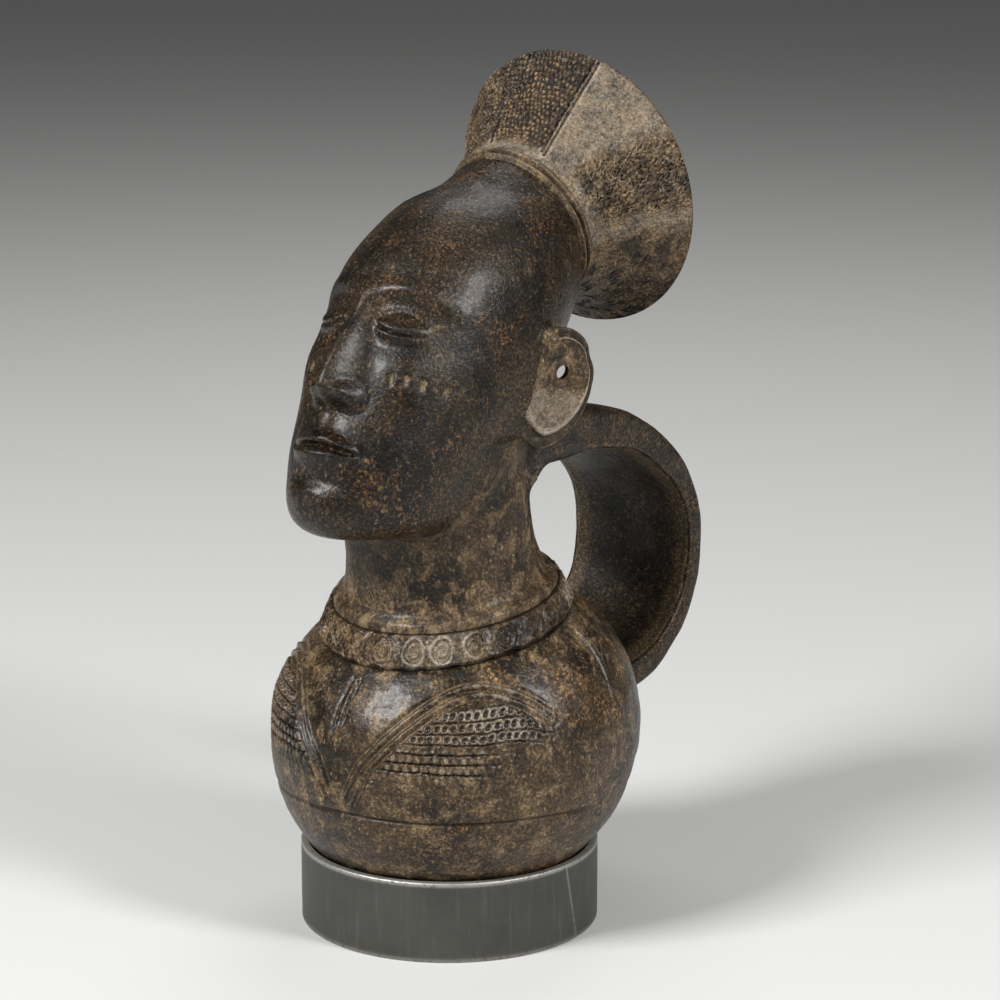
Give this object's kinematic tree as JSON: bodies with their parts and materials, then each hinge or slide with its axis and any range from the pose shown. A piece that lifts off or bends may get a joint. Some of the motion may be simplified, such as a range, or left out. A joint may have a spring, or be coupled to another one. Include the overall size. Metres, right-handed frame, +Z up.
{
  "type": "figural wine vessel",
  "caption": "Fired-clay wine vessel in the form of a head on a globe, with a fan-shaped open coiffure as its mouth and a strap handle, standing in a steel ring.",
  "frame": {"origin": "on the table, under the middle of the whole object", "axes": "+Z up, the figure faces -Y, its left side is +X and the handle is at the back, +Y"},
  "size_m": [0.136, 0.1994, 0.3143],
  "materials": {
    "steel": "satin, darkened, worn bright on the top edge",
    "clay": "burnished low-fired clay, dark brown with rust patches",
    "clay_dark": "burnished low-fired clay, near black",
    "clay_red": "burnished low-fired clay with tan crust in the recesses",
    "clay_matte": "stippled low-fired clay, matte grey brown"
  },
  "bodies": {
    "stand": {"stand_ring": "steel"},
    "vessel": {"base_bowl": "clay_dark", "shoulder_dome": "clay", "collar_band": "clay_red", "neck_tube": "clay_dark", "head_shell": "clay", "coiffure_roll": "clay_red", "coiffure_flare": "clay_matte", "left_ear": "clay", "right_ear": "clay", "handle_strap": "clay_dark"}
  },
  "joints": [
    {"name": "vessel_lift", "type": "slide", "parent": "stand", "child": "vessel", "axis": [0, 0, 1], "range_m": [0, 0.08]}
  ]
}
